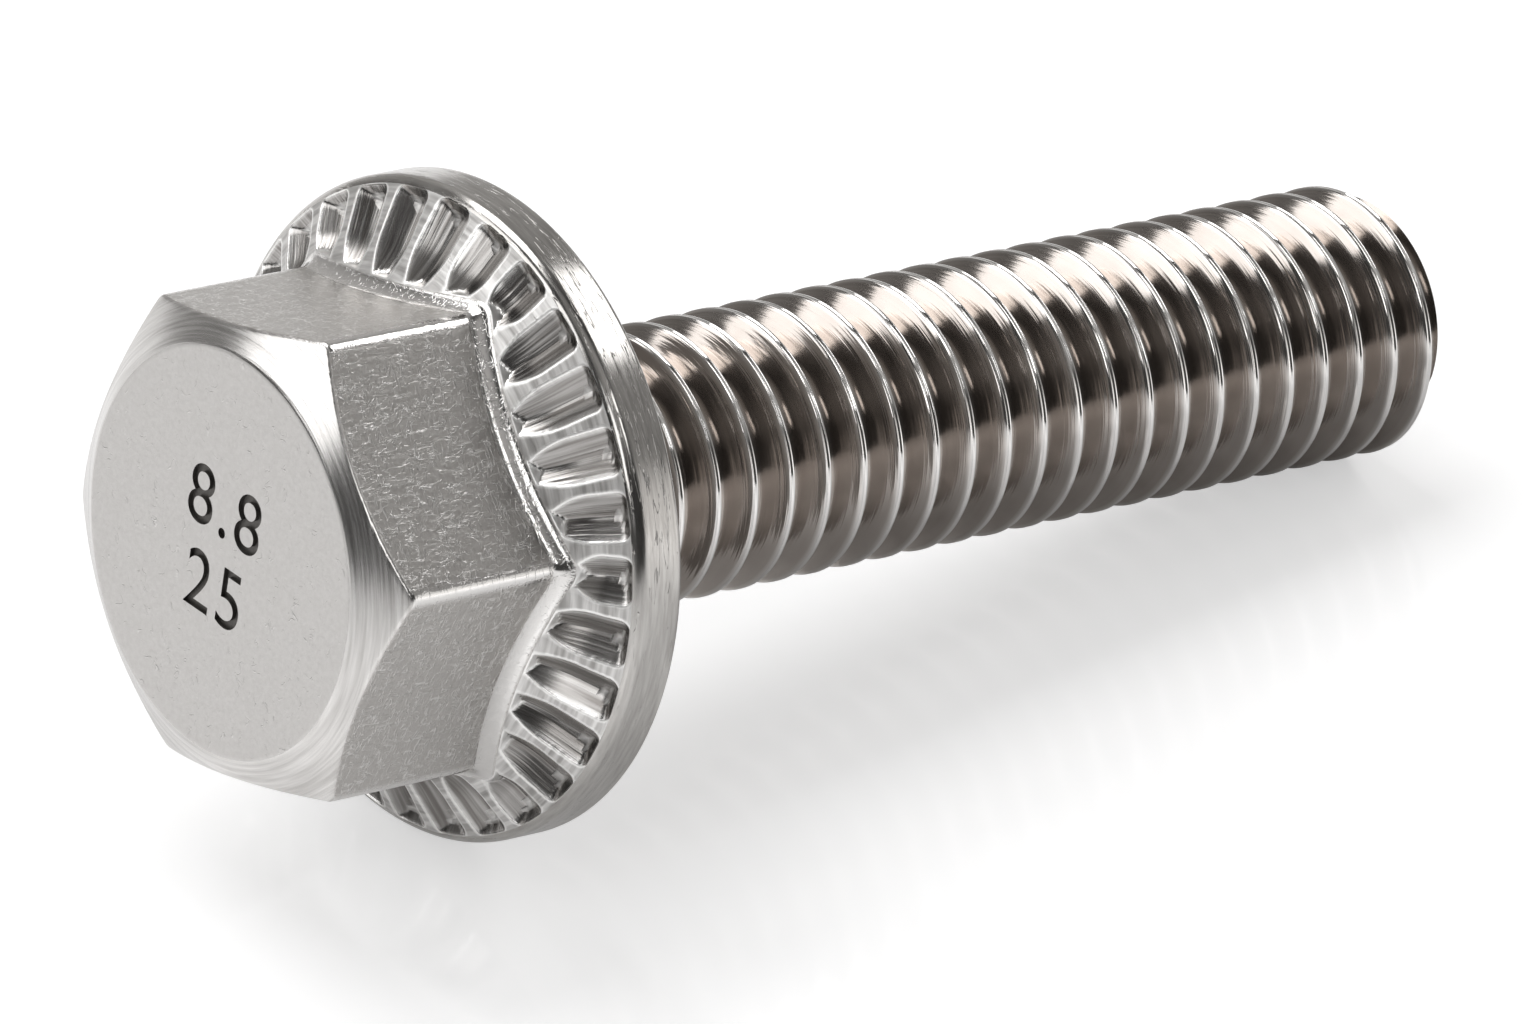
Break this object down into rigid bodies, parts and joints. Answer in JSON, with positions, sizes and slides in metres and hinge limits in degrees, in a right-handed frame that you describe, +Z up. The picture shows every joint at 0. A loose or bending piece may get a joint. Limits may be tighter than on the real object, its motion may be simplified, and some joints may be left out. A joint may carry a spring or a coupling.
{
  "type": "flange bolt",
  "caption": "Hexagon head bolt with a cone-shaped serrated flange forged on under the head, threaded right up to the flange, lying on its side.",
  "frame": {"origin": "on the surface it lies on, below the middle of its length", "axes": "+X from the head to the tip, seen from above, +Z up; the bolt's own axis lies in the XZ plane and dips towards the tip"},
  "size_m": [0.0324, 0.0142, 0.0141],
  "materials": {
    "steel": "bright turned and rolled steel, satin on the head and polished on the thread"
  },
  "bodies": {
    "root": {"flange_bolt": "steel"}
  },
  "joints": []
}
